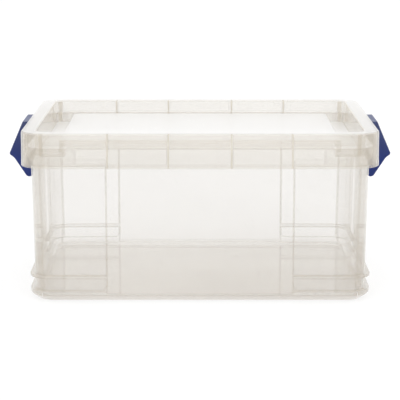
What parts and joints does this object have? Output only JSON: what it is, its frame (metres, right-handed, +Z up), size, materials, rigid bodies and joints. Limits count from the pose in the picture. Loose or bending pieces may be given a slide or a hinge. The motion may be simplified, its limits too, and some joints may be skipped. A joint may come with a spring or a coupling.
{
  "type": "under bed box",
  "caption": "Low translucent storage box with a recessed lift-off lid that takes a stacked box, and a swinging locking handle at each end.",
  "frame": {"origin": "on the floor, under the middle of the tub", "axes": "+X along the box towards the right handle, +Y across it towards the back, +Z up"},
  "size_m": [0.433, 0.2908, 0.1863],
  "materials": {
    "clear_pp": "translucent natural polypropylene, smooth",
    "blue_pp": "navy blue polypropylene, fine satin"
  },
  "bodies": {
    "tub": {"tub": "clear_pp"},
    "lid": {"lid": "clear_pp"},
    "left_handle": {"left_handle": "blue_pp"},
    "right_handle": {"right_handle": "blue_pp"}
  },
  "joints": [
    {"name": "lid_lift", "type": "slide", "parent": "tub", "child": "lid", "axis": [0, 0, 1], "range_m": [0, 0.25]},
    {"name": "left_handle_hinge", "type": "hinge", "parent": "tub", "child": "left_handle", "pos_m": [-0.1945, 0, 0.125], "axis": [0, -1, 0], "range_deg": [0, 130]},
    {"name": "right_handle_hinge", "type": "hinge", "parent": "tub", "child": "right_handle", "pos_m": [0.1945, 0, 0.125], "axis": [0, 1, 0], "range_deg": [0, 130]}
  ]
}
